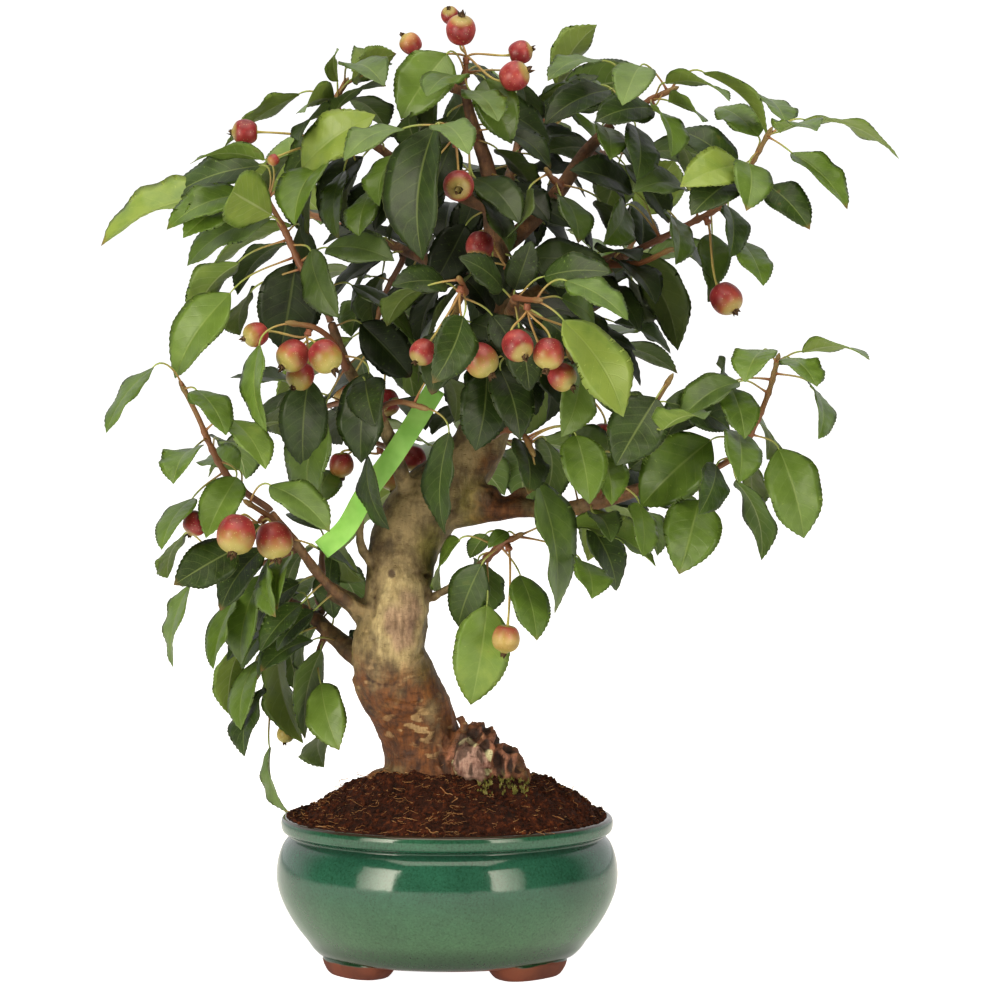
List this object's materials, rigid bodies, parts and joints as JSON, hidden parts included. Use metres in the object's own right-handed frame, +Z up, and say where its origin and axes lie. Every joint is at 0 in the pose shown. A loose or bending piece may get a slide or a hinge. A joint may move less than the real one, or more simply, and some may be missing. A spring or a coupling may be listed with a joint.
{
  "type": "potted bonsai tree",
  "caption": "Crabapple bonsai with an S-curved trunk, leafy shoots and small fruit, growing in a round glazed pot on short feet.",
  "frame": {"origin": "on the table, under the middle of the overall box; the pot's axis is 32 mm left of it and 30 mm in front of it", "axes": "+Z up the tree, -Y towards the front of the tree, +X to the tree's right as seen from the front"},
  "size_m": [0.4776, 0.3498, 0.5801],
  "materials": {
    "glazed_pot": "glossy green glaze, bare terracotta feet",
    "soil": "matte crumbly peat",
    "bark": "matte, smooth young bark with knots",
    "leaf": "satin green leaf",
    "fruit": "glossy waxy skin",
    "tag": "satin bright green plastic"
  },
  "bodies": {
    "root": {"pot": "glazed_pot", "soil": "soil", "trunk": "bark", "plant_tag": "tag", "fruit_left_fruit": "fruit", "fruit_leader": "fruit", "fruit_centre_top": "fruit", "fruit_centre_right": "fruit", "fruit_front_centre": "fruit", "fruit_front_left": "fruit", "fruit_left_mid_fruit": "fruit", "fruit_left_low_fruit": "fruit", "fruit_low_left": "fruit", "fruit_behind_left": "fruit", "fruit_right_twig": "fruit", "fruit_right_high": "fruit", "fruit_back_right_low": "fruit", "fruit_back_left_mid": "fruit", "fruit_back_top": "fruit", "spray_left_top": "leaf", "spray_upper_left": "leaf", "spray_upper_left_inner": "leaf", "spray_left_fruit": "leaf", "spray_leader": "leaf", "spray_centre_top": "leaf", "spray_centre_right": "leaf", "spray_front_centre": "leaf", "spray_front_low": "leaf", "spray_front_left": "leaf", "spray_left_mid_fruit": "leaf", "spray_left_mid": "leaf", "spray_left_low_fruit": "leaf", "spray_left_low_outer": "leaf", "spray_low_left": "leaf", "spray_low_left_inner": "leaf", "spray_trunk_left": "leaf", "spray_behind_left": "leaf", "spray_right_twig": "leaf", "spray_front_right_low": "leaf", "spray_right_low_inner": "leaf", "spray_right_low": "leaf", "spray_right_high": "leaf", "spray_right_high_inner": "leaf", "spray_top_right": "leaf", "spray_centre_high_right": "leaf", "spray_back_right": "leaf", "spray_back_right_low": "leaf", "spray_back_left": "leaf", "spray_back_left_mid": "leaf", "spray_back_low": "leaf", "spray_back_low_left": "leaf", "spray_back_top": "leaf", "spray_back_top_left": "leaf", "spray_back_right_high": "leaf", "spray_back_left_low": "leaf", "spray_back_right_base": "leaf", "spray_left_back_top": "leaf", "spray_left_low_back": "leaf", "spray_back_centre": "leaf", "spray_back_right_inner": "leaf"}
  },
  "joints": []
}
